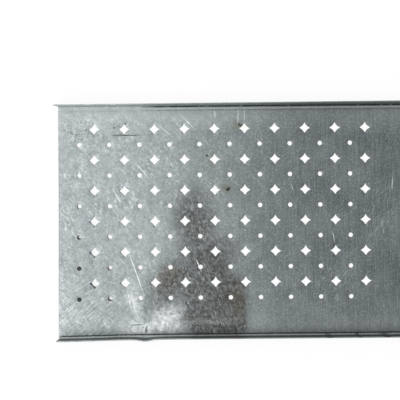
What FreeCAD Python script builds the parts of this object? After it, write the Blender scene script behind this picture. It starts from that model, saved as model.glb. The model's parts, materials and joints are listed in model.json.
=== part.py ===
"""Perforated galvanised steel sheet with both long edges turned up, in millimetres.

One blank is punched with fields of four-pointed stars and small round holes, and its two
long edges are then folded up at right angles, so the whole sheet is one solid.

X runs along the sheet, Y across it and Z up. The origin is at the middle of the underside.
"""
import FreeCAD
import Part

import math
import os

from FreeCAD import Vector

# The folded sheet.
sheet_length = 1000.0
inside_width = 300.0        # between the inner faces of the two flanges
sheet_thickness = 1.5
flange_height = 20.0        # from the underside of the web to the top of the flange
inside_bend_radius = 2.0

# The punched fields, each a grid of stars with a round hole half a pitch away from each.
column_pitch = 39.2
row_pitch = 40.0
field_spacing = 500.0       # from the first column of one field to the first of the next
plain_band_least = 100.0    # left unpunched, at the least, between one field and the next
end_to_first_round = 26.5   # from the sheet's left end to the first column of round holes
flange_to_first_star = 30.0  # from the far flange's inner face to the first row of stars
round_to_flange_least = 40.0  # from the last row of round holes to the near flange

# The two punches.
round_hole_diameter = 6.0
star_span = 15.0            # from tip to tip
star_waist = 8.2            # between opposite sides, halfway from tip to tip

left_end = -sheet_length / 2
far_inner_face = inside_width / 2

# As many columns as leave the plain band between fields, and as many rows as the web holds.
columns = int((field_spacing - plain_band_least) / column_pitch)
first_round_to_flange = inside_width - flange_to_first_star - row_pitch / 2
rows = 1 + int((first_round_to_flange - round_to_flange_least) / row_pitch)


def folded_profile():
    """The sheet's cross-section on the YZ plane: the web, two bends and two flanges."""
    inner = inside_bend_radius
    outer = inside_bend_radius + sheet_thickness
    half_inside = inside_width / 2
    half_outside = half_inside + sheet_thickness
    slant = math.sqrt(0.5)

    def point(y, z):
        return Vector(left_end, y, z)

    def bend(side, radius):
        """The quarter arc of one bend, from the web up to the flange."""
        centre_y = side * (half_inside - inner)
        return Part.Arc(
            point(centre_y, outer - radius),
            point(centre_y + side * radius * slant, outer - radius * slant),
            point(centre_y + side * radius, outer),
        ).toShape()

    def straight(start, end):
        return Part.LineSegment(point(*start), point(*end)).toShape()

    web_end = half_inside - inner
    edges = [
        straight((-web_end, 0), (web_end, 0)),
        bend(1, outer),
        straight((half_outside, outer), (half_outside, flange_height)),
        straight((half_outside, flange_height), (half_inside, flange_height)),
        straight((half_inside, flange_height), (half_inside, outer)),
        bend(1, inner),
        straight((web_end, sheet_thickness), (-web_end, sheet_thickness)),
        bend(-1, inner),
        straight((-half_inside, outer), (-half_inside, flange_height)),
        straight((-half_inside, flange_height), (-half_outside, flange_height)),
        straight((-half_outside, flange_height), (-half_outside, outer)),
        bend(-1, outer),
    ]
    return Part.Face(Part.Wire(Part.__sortEdges__(edges)))


def star_punch(centre):
    """A punch with four points on X and Y, joined by four arcs that bow inwards."""
    tip = star_span / 2
    side = star_waist / 2 * math.sqrt(0.5)
    base = Vector(centre.x, centre.y, -sheet_thickness)
    tips = [Vector(tip, 0, 0), Vector(0, tip, 0), Vector(-tip, 0, 0), Vector(0, -tip, 0)]
    waists = [Vector(side, side, 0), Vector(-side, side, 0),
              Vector(-side, -side, 0), Vector(side, -side, 0)]
    arcs = []
    for index, waist in enumerate(waists):
        start, end = tips[index], tips[(index + 1) % len(tips)]
        arcs.append(Part.Arc(base + start, base + waist, base + end).toShape())
    return Part.Face(Part.Wire(arcs)).extrude(Vector(0, 0, 3 * sheet_thickness))


def round_punch(centre):
    base = Vector(centre.x, centre.y, -sheet_thickness)
    return Part.makeCylinder(round_hole_diameter / 2, 3 * sheet_thickness, base)


def field_starts():
    """Where the first round column of each field lies along X. Fields that don't fit are left out."""
    reach = (columns - 0.5) * column_pitch + star_span / 2
    starts = []
    start = left_end + end_to_first_round
    while start + reach < sheet_length / 2:
        starts.append(start)
        start += field_spacing
    return starts


def punches():
    """Every star and every round hole of every field."""
    first_star_row = far_inner_face - flange_to_first_star
    tools = []
    for field_start in field_starts():
        for column in range(columns):
            round_x = field_start + column * column_pitch
            for row in range(rows):
                star_y = first_star_row - row * row_pitch
                tools.append(star_punch(Vector(round_x + column_pitch / 2, star_y, 0)))
                tools.append(round_punch(Vector(round_x, star_y - row_pitch / 2, 0)))
    return tools


def perforated_sheet():
    folded = folded_profile().extrude(Vector(sheet_length, 0, 0))
    return folded.cut(Part.makeCompound(punches()))


os.makedirs("parts", exist_ok=True)
result = perforated_sheet()
solid = result.Solids[0]
print("solids", len(result.Solids), "valid", solid.isValid(), "faces", len(solid.Faces))
print("volume mm3", round(solid.Volume, 1), "box", solid.BoundBox)
solid.exportStep("parts/perforated_sheet.step")
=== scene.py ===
import json
import math

import bpy
import numpy as np
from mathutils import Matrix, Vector


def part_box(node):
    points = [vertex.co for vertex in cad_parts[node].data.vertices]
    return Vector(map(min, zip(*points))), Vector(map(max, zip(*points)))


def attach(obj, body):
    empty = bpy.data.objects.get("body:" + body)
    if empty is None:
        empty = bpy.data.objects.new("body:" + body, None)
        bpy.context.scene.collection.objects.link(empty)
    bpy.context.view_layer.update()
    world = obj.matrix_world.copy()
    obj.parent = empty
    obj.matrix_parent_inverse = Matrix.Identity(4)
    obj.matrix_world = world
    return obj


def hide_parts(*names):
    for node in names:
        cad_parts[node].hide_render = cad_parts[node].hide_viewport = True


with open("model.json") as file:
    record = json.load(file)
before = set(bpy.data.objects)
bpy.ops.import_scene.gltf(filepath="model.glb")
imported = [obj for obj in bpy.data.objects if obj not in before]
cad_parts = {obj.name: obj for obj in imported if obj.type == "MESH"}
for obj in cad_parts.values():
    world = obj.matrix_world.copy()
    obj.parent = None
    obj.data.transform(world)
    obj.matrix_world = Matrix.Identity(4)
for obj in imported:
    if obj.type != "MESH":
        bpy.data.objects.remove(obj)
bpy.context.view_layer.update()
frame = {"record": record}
print("frame loaded")

mm = 0.001  # the settings below are in millimetres, Blender works in metres
low, high = [np.array(corner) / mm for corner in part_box("perforated_sheet")]
mounts = {mount["name"]: mount for mount in frame["record"]["mounts"]}
outerBolts, middleBolts = mounts["corner_bolts"], mounts["middle_bolts"]


def addNode(tree, kind, *inputs, named=None, **settings):
    # adds one node: its settings, then each input, which is either a link or a value
    node = tree.nodes.new("ShaderNode" + kind)
    for name, value in settings.items():
        setattr(node, name, value)
    for socket, value in [*enumerate(inputs), *(named or {}).items()]:
        if isinstance(value, bpy.types.NodeSocket):
            tree.links.new(value, node.inputs[socket])
        else:
            node.inputs[socket].default_value = value
    return node


def fromHex(text):
    # an sRGB hex colour as linear red, green, blue and alpha
    parts = np.array([int(text[i:i + 2], 16) for i in (1, 3, 5)]) / 255
    linear = np.where(parts <= 0.04045, parts / 12.92, ((parts + 0.055) / 1.055) ** 2.4)
    return (*linear.tolist(), 1.0)


def emptyTree(owner):
    # the owner's node tree, without the nodes it starts with
    owner.use_nodes = True
    owner.node_tree.nodes.clear()
    return owner.node_tree


sheet = {
    "thickness": 1.5,
    "bendRadius": 2.0,          # inside the fold
    "columnPitch": 39.2,
    "rowPitch": 40.0,
    "roundRadius": outerBolts["dims"]["hole_r_mm"],
    "starTip": 7.5,             # from a star's middle to its points
    "starWaist": 4.1,           # and to the middle of its sides
    "rollOver": 0.35,           # how far the punch draws the top face down round a hole
    "rollDepth": 0.1,
    "rim": 0.25,                # the sheared edge's small round
    "cellSteps": 4,             # grid steps along a half-pitch cell, 16 round each hole
    "marginStep": 4.0,
    "nearMarginStep": 2.8,
    "endLines": 24,             # across the plain right end
    "flangeSteps": 5,
    "bendSteps": 6,
    "sharpFrom": 32,            # degrees between faces, past which an edge looks sharp
    # where along the sheet, and how many degrees each flange leans outwards there
    "leanAt": (-500, -340, -60, 200, 500),
    "farLean": (-2.4, -1.2, 0.6, 0.4, 0.0),
    "nearLean": (-3.0, -4.0, -3.4, -0.8, 0.0),
    "cornerLift": 8.5,          # the near left corner stands off the floor
    "cornerReach": (85, 190),   # along the sheet and across it
    "cornerFall": 1.6,          # how steeply the lift dies away
    "cornerPull": 2.6,          # the far flange's end is drawn out along the sheet
    "cornerPullReach": 6,
    "waveHeight": 0.5,          # the web is not quite flat
    "waves": (dict(along=61, across=47, phase=0.6), dict(along=113, across=71, phase=2.0)),
    "kinkAt": -388,             # the near flange took a knock here
    "kinkOut": 2.4,
    "kinkReach": 9,
    "kinkFall": 1.5,            # the power of its falling exponential
    "kinkAtFoot": 0.45,         # the share of it at the flange's foot
    "kinkFrom": 143,            # how far across the knock begins, and over how much it grows
    "kinkOver": 5,
    "buckleAt": (-376, -137),   # the web's crumple beside the knock
    "buckleReach": (30, 11),
    "buckleHeight": 0.9,
    "rippleHeight": 0.7,        # two crossing trains of ripples on it
    "ripples": (dict(along=3.6, across=9), dict(along=-11, across=4.4)),
}


def gridRun(start, end, step):
    # evenly spaced lines from start up to end, without the last one
    return np.linspace(start, end, max(1, round((end - start) / step)), endpoint=False)


def squareLoop(steps):
    # once round a square of that many grid steps, as whole steps from its middle: each
    # coordinate is a triangle wave cut off at half a side, and the second lags a quarter turn
    turn = np.arange(4 * steps)
    wave = np.clip(np.abs(turn - 2 * steps) - steps, -steps // 2, steps // 2)
    return wave, np.roll(wave, steps)


def roundOutline(radius, count):
    # a circle: the radius times cosine and sine of an even turn
    turn = 2 * math.pi * np.arange(count) / count
    return radius * np.cos(turn), radius * np.sin(turn)


def starOutline(tip, waist, count):
    # four arcs that bow inwards: each lies on the circle through two points and the waist
    # between them, whose middle is on the diagonal, and is turned by a quarter for the next
    side = waist * math.sqrt(0.5)
    middle = (tip ** 2 - 2 * side ** 2) / (2 * tip - 4 * side)
    radius = math.hypot(middle - side, middle - side)
    begin = math.atan2(-middle, tip - middle) % (2 * math.pi)
    finish = math.atan2(tip - middle, -middle) % (2 * math.pi)
    index = np.arange(count)
    part = (index % (count // 4)) / (count // 4)
    angle = begin + (finish - begin) * part
    x, y = middle + radius * np.cos(angle), middle + radius * np.sin(angle)
    quarter = math.pi / 2 * (index // (count // 4))
    return x * np.cos(quarter) - y * np.sin(quarter), x * np.sin(quarter) + y * np.cos(quarter)


def foldBlank(x, v, n, s):
    # folds the flat blank: v runs across it, n up through its thickness. Up to the bend the
    # web stays level; then v turns round the bend's middle; past it, v climbs the flange
    flatHalf = high[1] - s["thickness"] - s["bendRadius"]
    outer = s["bendRadius"] + s["thickness"]
    arc = (s["bendRadius"] + s["thickness"] / 2) * math.pi / 2
    leanFar = np.interp(x, s["leanAt"], s["farLean"])
    leanNear = np.interp(x, s["leanAt"], s["nearLean"])
    fullTurn = np.radians(90 - np.where(v > 0, leanFar, leanNear))
    turn = np.clip((np.abs(v) - flatHalf) / arc, 0, 1) * fullTurn
    climb = np.maximum(np.abs(v) - flatHalf - arc, 0)
    reach = outer - n
    across = np.minimum(np.abs(v), flatHalf) + reach * np.sin(turn) + climb * np.cos(turn)
    return np.stack([x, np.sign(v) * across, outer - reach * np.cos(turn) + climb * np.sin(turn)], 1)


def wearShape(points, s):
    # moves the folded sheet to its used shape: products and sums of sine waves along and across
    # the web, one corner raised as a bell curve of its distance, and a knock that pushes the near
    # flange out, as a falling exponential either side of it, and buckles the web beside it
    x, y, z = points.T
    height = np.clip((z - s["thickness"]) / (high[2] - s["thickness"]), 0, 1)
    short, slow = s["waves"]
    wave = np.sin(x / short["along"] + short["phase"]) * np.cos(y / short["across"])
    wave = wave + np.sin(x / slow["along"] + y / slow["across"] + slow["phase"])
    halfWeb = high[1] - s["thickness"]
    # the sum of the waves runs from -2 to 2, and its share of the height from 0 to 1
    lift = s["waveHeight"] * (0.5 + 0.25 * wave) * np.cos(np.clip(y / halfWeb, -1, 1) * math.pi / 2)
    away = np.hypot((x - low[0]) / s["cornerReach"][0], (y - low[1]) / s["cornerReach"][1])
    lift = lift + s["cornerLift"] * np.exp(-away ** 2 * s["cornerFall"])
    knock = np.exp(-np.abs((x - s["kinkAt"]) / s["kinkReach"]) ** s["kinkFall"])
    nearFlange = np.clip((-y - s["kinkFrom"]) / s["kinkOver"], 0, 1)
    push = s["kinkOut"] * knock * nearFlange * (s["kinkAtFoot"] + (1 - s["kinkAtFoot"]) * height)
    beside = np.hypot((x - s["buckleAt"][0]) / s["buckleReach"][0],
                      (y - s["buckleAt"][1]) / s["buckleReach"][1])
    one, other = s["ripples"]
    ripple = np.sin(x / one["along"] + y / one["across"])
    ripple = ripple * np.cos(x / other["along"] + y / other["across"])
    buckle = np.exp(-beside ** 2) * (s["buckleHeight"] + s["rippleHeight"] * ripple)
    farCorner = np.exp(-(x - low[0]) / s["cornerPullReach"]) * (y > 0) * height
    return np.stack([x - s["cornerPull"] * farCorner, y - push, z + lift + buckle], 1)


def weldedStrip(outer, inner):
    # quads between two closed loops of vertex numbers, one row of each array to a loop
    return np.stack([outer, np.roll(outer, -1, -1), np.roll(inner, -1, -1), inner], -1).reshape(-1, 4)


def makeSheet(s):
    # one closed mesh, worked out on the flat blank and then folded and worn: a grid of lines
    # along and across on top and underneath, where a cell with a hole is a ring of quads from
    # the cell's border to the hole's outline, which the wall joins to the ring underneath
    flatHalf = high[1] - s["thickness"] - s["bendRadius"]
    arc = (s["bendRadius"] + s["thickness"] / 2) * math.pi / 2
    climb = high[2] - s["bendRadius"] - s["thickness"] - s["rim"]
    halfX, halfY = s["columnPitch"] / 2, s["rowPitch"] / 2
    steps = s["cellSteps"]

    firstRound = outerBolts["pos_m"][0] / mm - outerBolts["dims"]["spacing_x_mm"] / 2
    secondField = middleBolts["pos_m"][0] / mm + middleBolts["dims"]["spacing_x_mm"] / 2
    lastRound = middleBolts["pos_m"][0] / mm - middleBolts["dims"]["spacing_x_mm"] / 2
    columns = 2 * (round((lastRound - firstRound) / s["columnPitch"]) + 1)
    rows = 2 * (round(outerBolts["dims"]["spacing_y_mm"] / s["rowPitch"]) + 1)
    fieldLow = outerBolts["pos_m"][1] / mm - outerBolts["dims"]["spacing_y_mm"] / 2 - halfY / 2
    fieldHigh = fieldLow + rows * halfY
    fieldLefts = [firstRound - halfX / 2, secondField - halfX / 2]

    # grid lines along the sheet, then across the blank
    xRuns, start = [], low[0] + s["rim"]
    for left in fieldLefts:
        xRuns.append(gridRun(start, left, s["marginStep"]))
        xRuns.append(gridRun(left, left + columns * halfX, halfX / steps))
        start = left + columns * halfX
    xRuns.append(np.linspace(start, high[0] - s["rim"], s["endLines"]))
    xLines = np.concatenate(xRuns)
    vLines = np.concatenate([
        gridRun(-flatHalf - arc - climb, -flatHalf - arc, climb / s["flangeSteps"]),
        gridRun(-flatHalf - arc, -flatHalf, arc / s["bendSteps"]),
        gridRun(-flatHalf, fieldLow, s["nearMarginStep"]),
        gridRun(fieldLow, fieldHigh, halfY / steps),
        gridRun(fieldHigh, flatHalf, s["marginStep"]),
        gridRun(flatHalf, flatHalf + arc, arc / s["bendSteps"]),
        np.linspace(flatHalf + arc, flatHalf + arc + climb, s["flangeSteps"] + 1),
    ])
    gridX, gridV = np.meshgrid(xLines, vLines, indexing="ij")
    count = gridX.size
    top = np.arange(count).reshape(gridX.shape)
    bottom = top + count

    # the cells with a hole: rounds and stars on the two colours of half a chequerboard
    column, row = np.meshgrid(np.arange(columns), np.arange(rows), indexing="ij")
    punched = (column + row) % 2 == 0
    column, row = column[punched], row[punched]
    cellI, cellJ, isStar = [], [], []
    rowStart = int(np.argmin(np.abs(vLines - fieldLow)))
    for left in fieldLefts:
        cellI.append(int(np.argmin(np.abs(xLines - left))) + column * steps)
        cellJ.append(rowStart + row * steps)
        isStar.append(column % 2 == 1)
    cellI, cellJ, isStar = [np.concatenate(part) for part in (cellI, cellJ, isStar)]

    solid = np.ones((len(xLines) - 1, len(vLines) - 1), bool)
    inCell = np.arange(steps)
    solid[cellI[:, None, None] + inCell[:, None], cellJ[:, None, None] + inCell] = False
    quads = np.stack([top[:-1, :-1], top[1:, :-1], top[1:, 1:], top[:-1, 1:]], -1)[solid]

    waveI, waveJ = squareLoop(steps)
    borderI = cellI[:, None] + steps // 2 + waveI
    borderJ = cellJ[:, None] + steps // 2 + waveJ
    middleX = xLines[cellI + steps // 2][:, None]
    middleV = vLines[cellJ + steps // 2][:, None]
    circle = np.stack(roundOutline(s["roundRadius"], 4 * steps))
    star = np.stack(starOutline(s["starTip"], s["starWaist"], 4 * steps))
    outline = np.where(isStar[:, None, None], star, circle)
    wider = np.where(isStar, 1 + s["rollOver"] / s["starWaist"], 1 + s["rollOver"] / s["roundRadius"])
    wider = wider[:, None, None] * outline

    # the rim's loop of grid points, once round the whole blank
    lastI, lastJ = len(xLines) - 1, len(vLines) - 1
    rimI = np.concatenate([np.arange(lastI), np.full(lastJ, lastI),
                           np.arange(lastI, 0, -1), np.zeros(lastJ, int)])
    rimJ = np.concatenate([np.zeros(lastI, int), np.arange(lastJ),
                           np.full(lastI, lastJ), np.arange(lastJ, 0, -1)])
    rimX = xLines[rimI] + s["rim"] * ((rimI == lastI) * 1.0 - (rimI == 0))
    rimV = vLines[rimJ] + s["rim"] * ((rimJ == lastJ) * 1.0 - (rimJ == 0))

    full = s["thickness"]
    layers = [
        (gridX, gridV, full), (gridX, gridV, 0),
        (middleX + wider[:, 0], middleV + wider[:, 1], full),
        (middleX + outline[:, 0], middleV + outline[:, 1], full - s["rollDepth"]),
        (middleX + outline[:, 0], middleV + outline[:, 1], 0),
        (rimX, rimV, full - s["rim"]), (rimX, rimV, s["rim"]),
    ]
    starts = np.cumsum([0] + [layer[0].size for layer in layers])
    ringTop, edgeTop, edgeBottom = [
        starts[k] + np.arange(borderI.size).reshape(borderI.shape) for k in (2, 3, 4)]
    rimTop, rimBottom = [starts[k] + np.arange(rimI.size) for k in (5, 6)]
    faces = np.concatenate([
        quads, (quads + count)[:, ::-1],
        weldedStrip(top[borderI, borderJ], ringTop), weldedStrip(ringTop, edgeTop),
        weldedStrip(edgeTop, edgeBottom), weldedStrip(edgeBottom, bottom[borderI, borderJ]),
        weldedStrip(rimTop, top[rimI, rimJ]), weldedStrip(rimBottom, rimTop),
        weldedStrip(bottom[rimI, rimJ], rimBottom),
    ])
    flat = np.concatenate([
        np.stack([x.ravel(), v.ravel(), np.full(x.size, n)], 1) for x, v, n in layers])
    used, faces = np.unique(faces, return_inverse=True)
    flat = flat[used]
    points = wearShape(foldBlank(*flat.T, s), s) * mm

    mesh = bpy.data.meshes.new("sheet_metal")
    mesh.from_pydata(points.tolist(), [], faces.reshape(-1, 4).tolist())
    mesh.validate()
    mesh.shade_smooth()
    mesh.set_sharp_from_angle(angle=math.radians(s["sharpFrom"]))
    piece = bpy.data.objects.new("sheet_metal", mesh)
    bpy.context.scene.collection.objects.link(piece)
    print("sheet:", len(used), "points,", faces.size // 2, "triangles,", len(cellI), "holes")
    return piece


# its metal: hot-dip galvanised steel, weathered

zinc = {
    "litEnd": "#a4acad",         # the paler end, nearer the light: painted light, some of the light from the left laid into the colour
    "dull": "#5f6667",          # the darker end: painted shade, away from the light
    "shadeFrom": -470,           # the painted shade grows between these two places along the sheet
    "shadeTo": -150,
    "shadeEaseFrom": 60,            # and past these it lessens again
    "shadeEaseTo": 420,
    "shadeEased": 0.55,
    "grainyWhereShaded": 0.62,     # the share of the grain that the darker end keeps
    "patches": dict(size=28, span=(0.40, 0.58)),  # where bloom and scuffs gather
    "topFacing": (-0.3, 0.1),   # how far up a face looks: marks and the painted paler bands begin, and are full
    "webFacing": (0.25, 0.45),  # the same for the pressed lines
    "flangeFacing": (0.62, 0.38),  # and for the painted shade, which the upright faces have
    "wallFacing": (0.95, 0.75),
    "paintedShade": "#2f302e",         # painted shade on the near flange's inner face and on the holes' walls
    "flangeShade": 0.75,
    "wallShade": 0.92,
    "web": 146.0,               # half its width without the folds
    "foldSheen": {                 # painted light: the web paler beside the folds, standing in for light off the flanges
        "far": dict(start=112.0, full=136.0, strength=0.30, where="farSheen"),
        "near": dict(start=-96.0, full=-136.0, strength=0.10, where="dull"),
    },
    "foldSheenColour": "#d3dada",
    "sheenWhereShaded": 0.35,
    "cornerShadeFade": dict(to=-395.0, fullShadeFrom=-370.0, share=0.2),
    "paintedFoldLines": {                # painted highlight and shade lines beside the folds, far ones first
        "farShine": dict(at=146.3, half=0.9, colour="#c9d0d0", strength=0.35),
        "farShadow": dict(at=144.3, half=1.0, colour="#3d4344", strength=0.30),
        # painted shade in the far fold's inner corner
        "farCorner": dict(at=149.1, half=0.9, colour="#1d1e1e", strength=0.95),
        "nearShadow": dict(at=-147.0, half=0.9, colour="#2a2d2d", strength=0.85),
        "nearShine": dict(at=-149.3, half=0.9, colour="#959c9c", strength=0.50),
    },
    "lineBreaks": dict(size=7, span=(0.15, 0.45)),  # where those painted lines break off
    "roughness": 0.42,
    "stainAndShadeRoughness": 0.62,
    "metallic": 0.85,
    "stainAndShadeMetallic": 0.35,
    "unevenRoughness": dict(size=12, span=(0.3, 0.7), strength=0.08),
    "brightRoughness": -0.12,   # scratches and knocks are smoother by this
    "brightRelief": 0.4,
    "grain": dict(size=2.5, span=(0.3, 0.7)),
    "grainHeight": 0.0002,      # metres
    "grainStrength": 0.3,
}

# Patterns all over the sheet, in the order they are laid on. size is the width of a lump or a
# streak, long how many times longer it is, along the direction turn. Noise between the two
# values of span fades the colour in, up to its strength
patterns = {
    "cloud": dict(colour="#dfe6e6", size=42, long=1.4, turn=30, span=(0.42, 0.75), strength=0.12),
    "shade": dict(colour="#3f4647", size=34, long=1.5, turn=60, span=(0.45, 0.8), strength=0.10),
    "darkGrain": dict(colour="#373d3e", size=2.2, long=1.3, turn=50, span=(0.42, 0.75), strength=0.40,
                      where="grainy"),
    "paleGrain": dict(colour="#eef3f3", size=2.1, long=1.2, turn=20, span=(0.50, 0.80), strength=0.40,
                      where="grainy"),
    "mottle": dict(colour="#454c4d", size=8.5, long=1.3, turn=-50, span=(0.46, 0.70), strength=0.22,
                   where="pale"),
    "paleMottle": dict(colour="#e2e8e8", size=7.0, long=1.3, turn=-50, span=(0.50, 0.72), strength=0.22,
                       where="pale"),
    "rolling": dict(colour="#b3bcbc", size=1.3, long=30, turn=90, span=(0.45, 0.75), strength=0.24,
                    where="dull"),
    "rollingDark": dict(colour="#3c4243", size=1.6, long=26, turn=90, span=(0.48, 0.78), strength=0.22,
                        where="dull"),
    "bloom": dict(colour="#e9eeee", size=3.4, long=1.5, turn=-55, span=(0.53, 0.68), strength=0.58,
                  where="palePatches"),
    "scuffs": dict(colour="#eef2f2", size=1.3, long=16, turn=-48, span=(0.60, 0.71), strength=0.55,
                   where="palePatches"),
    "wiping": dict(colour="#e9eeee", size=1.3, long=17, turn=37, span=(0.50, 0.66), strength=0.62,
                   where="nearCorner"),
    "wipingDark": dict(colour="#6f7778", size=1.4, long=15, turn=37, span=(0.52, 0.68), strength=0.52,
                       where="nearCorner"),
    "specks": dict(colour="#23221f", size=1.7, long=1.8, turn=50, span=(0.56, 0.63), strength=0.85,
                   where="farCorner"),
    "handling": dict(colour="#c6cece", size=1.6, long=7, turn=72, span=(0.55, 0.67), strength=0.42,
                     where="farRight"),
}

# Single marks. at is where each lies along and across the sheet, size half its length and
# width, turn its direction, edge the share of it over which it fades out
marks = {
    "nearCorner": dict(strength=1.0, loose=26, each={
        "corner": dict(at=(-470, -118), size=(78, 70), turn=0, edge=0.9),
    }),
    "farCorner": dict(strength=1.0, loose=16, each={
        "corner": dict(at=(-474, 124), size=(32, 28), turn=-30, edge=0.7),
        "byStar": dict(at=(-424, 124), size=(16, 12), turn=0, edge=0.7),
    }),
    "farRight": dict(strength=1.0, loose=26, each={
        "patch": dict(at=(-80, 12), size=(34, 62), turn=0, edge=0.6),
        "lower": dict(at=(-150, -75), size=(60, 60), turn=0, edge=1.0),
    }),
    # painted reflection: a dark mottled patch, narrow at its far end and wider towards the near fold,
    # standing in for a figure mirrored in the sheet; reflectionTint browns its sides
    "paintedReflection": dict(strength=0.86, colour="#2e2a27", loose=22, mottle=3.8, span=(0.14, 0.60),
                flecked=True, each={
        "neck": dict(at=(-323, -6), size=(43, 74), turn=8, edge=0.85),
        "middle": dict(at=(-308, -52), size=(62, 68), turn=0, edge=0.85),
        "foot": dict(at=(-298, -112), size=(53, 78), turn=6, edge=0.34),
        "tail": dict(at=(-346, -78), size=(80, 42), turn=42, edge=0.85),
    }),
    "reflectionTint": dict(strength=0.42, colour="#54462f", loose=24, mottle=7, each={
        "left": dict(at=(-360, -74), size=(34, 20), turn=45, edge=0.9),
        "right": dict(at=(-270, -106), size=(20, 40), turn=10, edge=0.9),
    }),
    "polish": dict(strength=0.82, colour="#eef2f3", loose=16, mottle=4.0, span=(0.32, 0.68), each={
        "knock": dict(at=(-378, -137), size=(60, 17), turn=3, edge=0.7),
        "smear": dict(at=(-402, -104), size=(13, 34), turn=15, edge=1.0),
        "besideKnock": dict(at=(-362, -123), size=(36, 18), turn=14, edge=0.9),
    }),
    "foldBloom": dict(strength=0.24, colour="#dfe4e4", loose=8, mottle=2.2, span=(0.42, 0.64), each={
        "line": dict(at=(-300, -131), size=(66, 6), turn=2, edge=0.9),
    }),
    "verdigris": dict(strength=0.6, colour="#6d7058", loose=6, mottle=4, each={
        "halo": dict(at=(-281, 42), size=(11, 10), turn=0, edge=0.9),
        "besideRust": dict(at=(-270, 124), size=(7, 13), turn=0, edge=0.9),
        "belowSpot": dict(at=(-298, 80), size=(7, 12), turn=0, edge=0.9),
    }),
    "rust": dict(strength=1.0, colour="#3e2a1c", loose=2.5, mottle=2, each={
        "beside": dict(at=(-263, 124.0), size=(5.5, 2.6), turn=-35, edge=0.5),
        "spot": dict(at=(-306.5, 85), size=(3.2, 2.4), turn=0, edge=0.8),
    }),
    "scratch": dict(strength=0.9, colour="#f3f6f6", loose=2.5, mottle=3, each={
        "long": dict(at=(-400.5, -67), size=(36, 0.9), turn=-71, edge=0.5),
        "lower": dict(at=(-404, -106), size=(24, 0.8), turn=-76, edge=1.0),
        "lowerTwin": dict(at=(-409, -104), size=(24, 0.8), turn=-80, edge=1.0),
        "upper": dict(at=(-391, 66), size=(24, 0.8), turn=-50, edge=0.9),
        "top": dict(at=(-331, 128), size=(18, 0.9), turn=-46, edge=0.8),
        "topTwin": dict(at=(-360, 117), size=(15, 0.8), turn=-42, edge=0.9),
        "middle": dict(at=(-424, 32), size=(15, 1.5), turn=-60, edge=1.0),
        "stainsAndShade": dict(at=(-319, -57), size=(10, 0.9), turn=-68, edge=0.6),
        "right": dict(at=(-66, 47), size=(15, 0.8), turn=88, edge=1.0),
        "rightLow": dict(at=(-143, -22), size=(12, 0.7), turn=-78, edge=1.0),
        "rightHigh": dict(at=(-196, 42), size=(9, 0.7), turn=-70, edge=1.0),
        "atFold": dict(at=(-296, 139), size=(8, 0.9), turn=92, edge=0.7),
        "atFoldTwin": dict(at=(-266, 136), size=(13, 0.8), turn=88, edge=0.8),
        "atFoldThird": dict(at=(-258, 138), size=(11, 0.7), turn=91, edge=0.9),
    }),
    "dirt": dict(strength=1.0, colour="#161614", loose=2, mottle=1.5, each={
        "score": dict(at=(-413, 112.4), size=(25, 1.0), turn=0, edge=0.6),
        "crease": dict(at=(-388, -140), size=(2.2, 7), turn=-8, edge=0.8),
        "creaseBeside": dict(at=(-399, -134), size=(15, 1.2), turn=4, edge=1.0),
        "fleck": dict(at=(-413, 127.5), size=(2.4, 1.6), turn=30, edge=0.6),
        "fleckTwin": dict(at=(-427, 122), size=(2.4, 1.3), turn=0, edge=0.8),
        "pit": dict(at=(-280, 41.5), size=(4.2, 2.9), turn=50, edge=0.4),
        "foldMarks": dict(at=(-152, -149), size=(7, 1.6), turn=0, edge=0.8),
        "foldMarksRight": dict(at=(-114, -149), size=(4, 1.8), turn=0, edge=0.8),
        "foldMarksLast": dict(at=(-79, -149), size=(8, 1.6), turn=0, edge=0.8),
        "speck": dict(at=(-72.7, 101), size=(2.2, 1.4), turn=0, edge=0.9),
    }),
}


noiseDetail = 4
noiseRoughness = 0.58
looseness = dict(coarse=24, fine=5, fineShare=0.3)  # two sizes of noise that push outlines about
flecks = dict(size=2.4, span=(0.68, 0.57), long=3.2, turn=-72)
markDepth = 1000.0  # marks reach right through the sheet


def loosened(tree, places, size, amount):
    # places pushed about by noise, so that what is drawn on them has a natural outline
    noise = addNode(tree, "TexNoise", named={"Vector": places, "Scale": 1 / size, "Detail": noiseDetail})
    centred = addNode(tree, "VectorMath", noise.outputs[1], (0.5,) * 3, operation="SUBTRACT")
    pushed = addNode(tree, "VectorMath", centred.outputs[0], (amount, amount, 0), operation="MULTIPLY")
    return addNode(tree, "VectorMath", places, pushed.outputs[0], operation="ADD").outputs[0]


def patternMask(tree, places, size, span, strength=1.0, long=1.0, turn=0.0):
    # stretched noise, faded in between the two values of span
    laid = addNode(tree, "Mapping", named={
        0: places, 2: (0, 0, math.radians(turn)), 3: (long, 1, 1)}, vector_type="TEXTURE")
    noise = addNode(tree, "TexNoise", named={
        "Vector": laid.outputs[0], "Scale": 1 / size, "Detail": noiseDetail,
        "Roughness": noiseRoughness})
    return addNode(tree, "MapRange", noise.outputs[0], *span, 0.0, strength).outputs[0]


def markMask(tree, places, group):
    # a group of soft ellipses, the strongest at each place, with loose outlines and a mottle
    loose = loosened(tree, places, looseness["coarse"], group["loose"])
    loose = loosened(tree, loose, looseness["fine"], group["loose"] * looseness["fineShare"])
    total = 0.0
    for mark in group["each"].values():
        local = addNode(tree, "Mapping", loose, (*mark["at"], 0), (0, 0, math.radians(mark["turn"])),
                        (*mark["size"], markDepth), vector_type="TEXTURE")
        ball = addNode(tree, "TexGradient", local.outputs[0], gradient_type="SPHERICAL")
        faded = addNode(tree, "MapRange", ball.outputs[1], 0.0, mark["edge"], 0.0, group["strength"],
                        interpolation_type="SMOOTHSTEP")
        total = addNode(tree, "Math", faded.outputs[0], total, operation="MAXIMUM").outputs[0]
    if "mottle" in group:
        mottle = patternMask(tree, places, group["mottle"], group.get("span", (0.22, 0.55)))
        total = addNode(tree, "Math", total, mottle, operation="MULTIPLY").outputs[0]
    if group.get("flecked"):  # short bare flecks that break up a dark patch
        covered = patternMask(tree, places, **flecks)
        total = addNode(tree, "Math", total, covered, operation="MULTIPLY").outputs[0]
    return total


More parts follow.
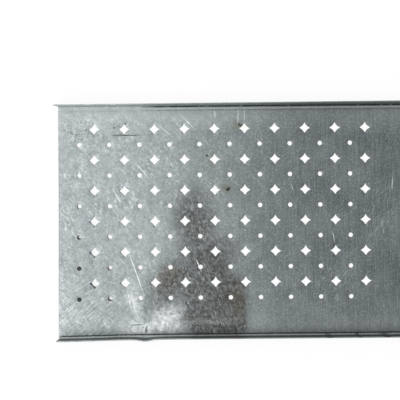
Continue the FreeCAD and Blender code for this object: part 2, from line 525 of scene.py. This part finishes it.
def galvanisedSteel(name, z):
    # a matt, slightly metallic grey with cloudy patches, fine crystals, rolling streaks and
    # white bloom, on which scratches shine and dirt lies dull. Painted light and shade lie in it too:
    # a paler and a darker end, a dark patch for a reflection, paler bands and lines of highlight and
    # shade beside the folds, and shade on the near flange and in the holes. Each layer is mixed into
    # the colour by its mask, which is its pattern times its strength times where it may lie
    material = bpy.data.materials.new(name)
    tree = emptyTree(material)
    where = addNode(tree, "TexCoord").outputs
    inMm = addNode(tree, "VectorMath", where["Object"], (1 / mm,) * 3, operation="MULTIPLY").outputs[0]
    along, across = addNode(tree, "SeparateXYZ", inMm).outputs[:2]
    facing = addNode(tree, "SeparateXYZ", where["Normal"]).outputs[2]
    onTop = addNode(tree, "MapRange", facing, *z["topFacing"]).outputs[0]

    # where the sheet is painted darker as shade, away from the light, and the other places that patterns
    # keep to
    shading = addNode(tree, "MapRange", along, z["shadeFrom"], z["shadeTo"],
                     interpolation_type="SMOOTHSTEP").outputs[0]
    shadeEased = addNode(tree, "MapRange", along, z["shadeEaseFrom"], z["shadeEaseTo"], 1.0, z["shadeEased"],
                      interpolation_type="SMOOTHSTEP").outputs[0]
    dull = addNode(tree, "Math", shading, shadeEased, operation="MULTIPLY").outputs[0]
    pale = addNode(tree, "Math", 1.0, dull, operation="SUBTRACT").outputs[0]
    patches = patternMask(tree, inMm, **z["patches"])
    places = {
        "dull": dull,
        "pale": pale,
        "palePatches": addNode(tree, "Math", pale, patches, operation="MULTIPLY").outputs[0],
        "farSheen": addNode(tree, "MapRange", dull, 0.0, 1.0, 1.0, z["sheenWhereShaded"]).outputs[0],
        "grainy": addNode(tree, "MapRange", dull, 0.0, 1.0, 1.0, z["grainyWhereShaded"]).outputs[0],
        "nearCorner": markMask(tree, inMm, marks["nearCorner"]),
        "farCorner": markMask(tree, inMm, marks["farCorner"]),
        "farRight": markMask(tree, inMm, marks["farRight"]),
    }

    colour = addNode(tree, "Mix", dull, named={6: fromHex(z["litEnd"]), 7: fromHex(z["dull"])},
                     data_type="RGBA").outputs[2]
    for pattern in patterns.values():
        chosen = {key: pattern[key] for key in ("size", "span", "strength", "long", "turn")}
        mask = patternMask(tree, inMm, **chosen)
        if "where" in pattern:
            mask = addNode(tree, "Math", mask, places[pattern["where"]], operation="MULTIPLY").outputs[0]
        colour = addNode(tree, "Mix", mask, named={6: colour, 7: fromHex(pattern["colour"])},
                         data_type="RGBA").outputs[2]

    # painted light: paler bands on the web beside the folds
    for sheen in z["foldSheen"].values():
        mask = addNode(tree, "MapRange", across, sheen["start"], sheen["full"], 0.0, sheen["strength"])
        for share in (onTop, places[sheen["where"]]):
            mask = addNode(tree, "Math", mask.outputs[0], share, operation="MULTIPLY")
        colour = addNode(tree, "Mix", mask.outputs[0], named={6: colour, 7: fromHex(z["foldSheenColour"])},
                         data_type="RGBA").outputs[2]

    stainsAndShade, bright = 0.0, 0.0
    for key, group in marks.items():
        if "colour" not in group:
            continue
        mask = addNode(tree, "Math", markMask(tree, inMm, group), onTop, operation="MULTIPLY").outputs[0]
        colour = addNode(tree, "Mix", mask, named={6: colour, 7: fromHex(group["colour"])},
                         data_type="RGBA").outputs[2]
        if key == "dirt":
            clean = addNode(tree, "Math", 1.0, mask, operation="SUBTRACT").outputs[0]
        if key in ("polish", "scratch", "foldBloom"):
            bright = addNode(tree, "Math", mask, bright, operation="MAXIMUM").outputs[0]
        else:
            stainsAndShade = addNode(tree, "Math", mask, stainsAndShade, operation="MAXIMUM").outputs[0]

    # painted highlight and shade lines beside the bends, standing in for how the folds catch the light,
    # broken here and there, under the dirt
    onWeb = addNode(tree, "MapRange", facing, *z["webFacing"]).outputs[0]
    lineBreaks = patternMask(tree, inMm, **z["lineBreaks"])
    for key, line in z["paintedFoldLines"].items():
        paintedFoldLines = addNode(tree, "Math", across, line["at"], line["half"], operation="COMPARE").outputs[0]
        for share in (onWeb, lineBreaks, clean, line["strength"]):
            paintedFoldLines = addNode(tree, "Math", paintedFoldLines, share, operation="MULTIPLY").outputs[0]
        if key in ("farCorner", "farShadow"):  # the painted corner shade and shadow line are fainter at the pale end
            clear = z["cornerShadeFade"]
            shadeShare = addNode(tree, "MapRange", along, clear["to"], clear["fullShadeFrom"],
                            clear["share"], 1.0).outputs[0]
            paintedFoldLines = addNode(tree, "Math", paintedFoldLines, shadeShare, operation="MULTIPLY").outputs[0]
        colour = addNode(tree, "Mix", paintedFoldLines, named={6: colour, 7: fromHex(line["colour"])},
                         data_type="RGBA").outputs[2]

    # painted shade where light hardly reaches: the near flange's inner face and the walls of the holes,
    # painted dark
    off = addNode(tree, "Math", across, operation="ABSOLUTE").outputs[0]
    flange = addNode(tree, "MapRange", facing, *z["flangeFacing"], 0.0, z["flangeShade"]).outputs[0]
    nearSide = addNode(tree, "Math", across, -z["web"], operation="LESS_THAN").outputs[0]
    flange = addNode(tree, "Math", flange, nearSide, operation="MULTIPLY").outputs[0]
    steep = addNode(tree, "Math", facing, operation="ABSOLUTE").outputs[0]
    steep = addNode(tree, "MapRange", steep, *z["wallFacing"], 0.0, z["wallShade"]).outputs[0]
    inWeb = addNode(tree, "Math", off, z["web"], operation="LESS_THAN").outputs[0]
    walls = addNode(tree, "Math", steep, inWeb, operation="MULTIPLY").outputs[0]
    paintedShade = addNode(tree, "Math", flange, walls, operation="MAXIMUM").outputs[0]
    colour = addNode(tree, "Mix", paintedShade, named={6: colour, 7: fromHex(z["paintedShade"])},
                     data_type="RGBA").outputs[2]
    stainsAndShade = addNode(tree, "Math", stainsAndShade, paintedShade, operation="MAXIMUM").outputs[0]

    # the real stains and the painted shade and reflection alike are rougher and less metallic
    rough = addNode(tree, "MapRange", stainsAndShade, 0.0, 1.0, z["roughness"], z["stainAndShadeRoughness"]).outputs[0]
    rough = addNode(tree, "Math", bright, z["brightRoughness"], rough, operation="MULTIPLY_ADD").outputs[0]
    rough = addNode(tree, "Math", patternMask(tree, inMm, **z["unevenRoughness"]), rough,
                    operation="ADD").outputs[0]
    metal = addNode(tree, "MapRange", stainsAndShade, 0.0, 1.0, z["metallic"], z["stainAndShadeMetallic"]).outputs[0]
    relief = addNode(tree, "Math", bright, z["brightRelief"], patternMask(tree, inMm, **z["grain"]),
                     operation="MULTIPLY_ADD").outputs[0]
    bump = addNode(tree, "Bump", named={
        "Strength": z["grainStrength"], "Distance": z["grainHeight"], "Height": relief})
    shader = addNode(tree, "BsdfPrincipled", named={
        "Base Color": colour, "Metallic": metal, "Roughness": rough, "Normal": bump.outputs[0]})
    addNode(tree, "OutputMaterial", shader.outputs[0])
    return material


sheetMetal = makeSheet(sheet)
sheetMetal.data.materials.append(galvanisedSteel("galvanised steel", zinc))
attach(sheetMetal, "root")
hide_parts("perforated_sheet")
print("sheet dressed in weathered zinc")


studio = {
    "floorSize": 60.0,
    "floor": "#fbfbfb",
    "underSheet": "#9c9c9c",    # painted shadow: the paper's colour where the sheet shuts the light out
    "windowSide": (-0.33, -0.3, 0.9),  # the side that light comes in from under the sheet
    "openReach": 0.15,          # metres that the light from there has to clear
    "openSpan": (0.27, 0.36),   # shut out below the first share of it, open past the second
    "openWhite": 0.88,          # how much of the open paper is plain white
    "openRays": 128,            # fewer blur the shadows seen through the holes
    "toLeft": 1.75,             # how bright the room is on the left, and on the right
    "toRight": 0.35,
    "window": dict(place=(-1.5, -0.9, 1.4), aim=(-0.35, 0, 0), size=1.1, power=9.0),
    "camera": (-0.3165, 0.0272, 0.8837),
    "lens": 61.0,
    "roll": -0.55,              # degrees
}


def makeFloor(s):
    # a square of seamless white paper. The share of light that reaches it from the window's
    # side, stretched between the two values of openSpan, mixes plain white over a paper whose colour
    # is painted grey where that share is low, a painted shadow that goes to white with it
    half = s["floorSize"] / 2
    mesh = bpy.data.meshes.new("floor")
    mesh.from_pydata([(-half, -half, 0), (half, -half, 0), (half, half, 0), (-half, half, 0)],
                     [], [(0, 1, 2, 3)])
    floor = bpy.data.objects.new("floor", mesh)
    bpy.context.scene.collection.objects.link(floor)
    material = bpy.data.materials.new("white seamless paper")
    tree = emptyTree(material)
    glow = addNode(tree, "Emission", (1, 1, 1, 1), 1.0)
    path = addNode(tree, "LightPath").outputs
    seen = addNode(tree, "Math", path["Is Camera Ray"], path["Is Glossy Ray"], operation="MAXIMUM")
    seen = addNode(tree, "Math", seen.outputs[0], path["Is Transmission Ray"], operation="MAXIMUM")
    toWindow = addNode(tree, "VectorMath", s["windowSide"], operation="NORMALIZE").outputs[0]
    opened = addNode(tree, "AmbientOcclusion", samples=s["openRays"], named={
        "Distance": s["openReach"], "Normal": toWindow})
    opened = addNode(tree, "MapRange", opened.outputs[1], *s["openSpan"], 0.0, s["openWhite"],
                     interpolation_type="SMOOTHSTEP")
    shaded = addNode(tree, "Mix", opened.outputs[0], named={
        6: fromHex(s["underSheet"]), 7: fromHex(s["floor"])}, data_type="RGBA")
    paper = addNode(tree, "BsdfDiffuse", shaded.outputs[2])
    share = addNode(tree, "Math", seen.outputs[0], opened.outputs[0], operation="MULTIPLY")
    both = addNode(tree, "MixShader", share.outputs[0], paper.outputs[0], glow.outputs[0])
    addNode(tree, "OutputMaterial", both.outputs[0])
    mesh.materials.append(material)


def makeRoom(s):
    # soft light from all round, plain white where it is seen. Elsewhere its brightness goes
    # evenly from the left's value to the right's with the direction's first coordinate
    world = bpy.data.worlds.new("soft room")
    bpy.context.scene.world = world
    tree = emptyTree(world)
    direction = addNode(tree, "TexCoord").outputs["Generated"]
    toRight = addNode(tree, "SeparateXYZ", direction).outputs[0]
    level = addNode(tree, "MapRange", toRight, -1.0, 1.0, s["toLeft"], s["toRight"]).outputs[0]
    path = addNode(tree, "LightPath").outputs
    seen = addNode(tree, "Math", path["Is Camera Ray"], path["Is Transmission Ray"], operation="MAXIMUM")
    strength = addNode(tree, "Mix", seen.outputs[0], named={2: level, 3: 1.0})
    light = addNode(tree, "Background", (1, 1, 1, 1), strength.outputs[0])
    addNode(tree, "OutputWorld", light.outputs[0])


def makeLamp(name, s):
    # a round lamp at its place, with the way it shines turned along aim minus place
    data = bpy.data.lights.new(name, "AREA")
    data.shape, data.size, data.energy = "DISK", s["size"], s["power"]
    lamp = bpy.data.objects.new(name, data)
    lamp.location = s["place"]
    lamp.rotation_euler = (Vector(s["aim"]) - Vector(s["place"])).to_track_quat("-Z", "Y").to_euler()
    bpy.context.scene.collection.objects.link(lamp)


def makeCamera(s):
    # a camera that looks straight down and is rolled a little about its own axis
    camera = bpy.data.objects.new("camera", bpy.data.cameras.new("camera"))
    camera.data.lens = s["lens"]
    camera.location = s["camera"]
    camera.rotation_euler = (0, 0, math.radians(s["roll"]))
    bpy.context.scene.collection.objects.link(camera)
    bpy.context.scene.camera = camera


makeFloor(studio)
makeRoom(studio)
makeLamp("window", studio["window"])
makeCamera(studio)
bpy.context.scene.view_settings.view_transform = "Standard"
print("floor, light and camera set")
